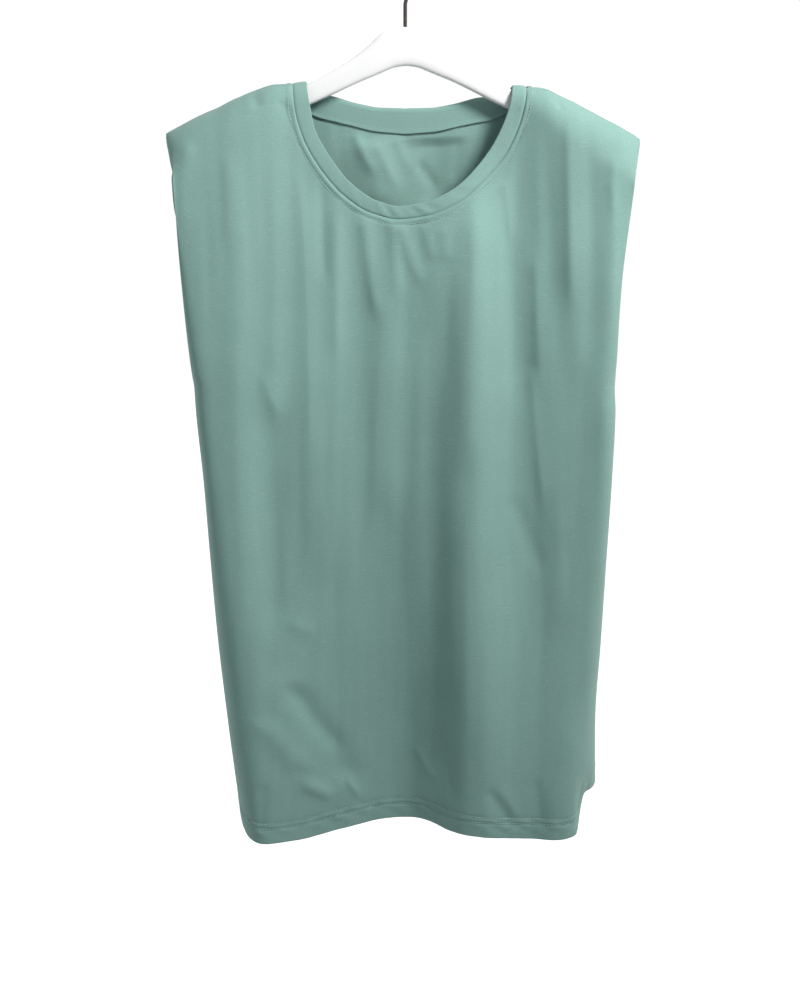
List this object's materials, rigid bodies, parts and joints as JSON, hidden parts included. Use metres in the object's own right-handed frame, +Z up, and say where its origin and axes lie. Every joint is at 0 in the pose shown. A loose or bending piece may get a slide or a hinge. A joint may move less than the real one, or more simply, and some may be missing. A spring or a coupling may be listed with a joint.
{
  "type": "padded shirt on a hanger",
  "caption": "Sleeveless cotton jersey top with square padded shoulders and a narrow round neckband, hanging open from a flat arched hanger with a wire hook",
  "frame": {"origin": "the inside top of the hanger's hook, where it bears on the rod it hangs from", "axes": "+Z is up, the front of the top faces -Y, and +X runs across it, to the right in the picture"},
  "size_m": [0.4268, 0.1214, 0.8247],
  "materials": {
    "jersey": "matt slub cotton jersey",
    "neckband_jersey": "matt jersey, folded double",
    "pad": "thin cloth over foam",
    "hanger": "smooth satin white",
    "hook": "dark bronzed wire"
  },
  "bodies": {
    "root": {"front_panel": "jersey", "back_panel": "jersey", "neckband": "neckband_jersey", "neck_tape": "neckband_jersey", "shoulder_pad_left": "pad", "shoulder_pad_right": "pad", "hanger_body": "hanger", "hanger_hook": "hook"}
  },
  "joints": []
}
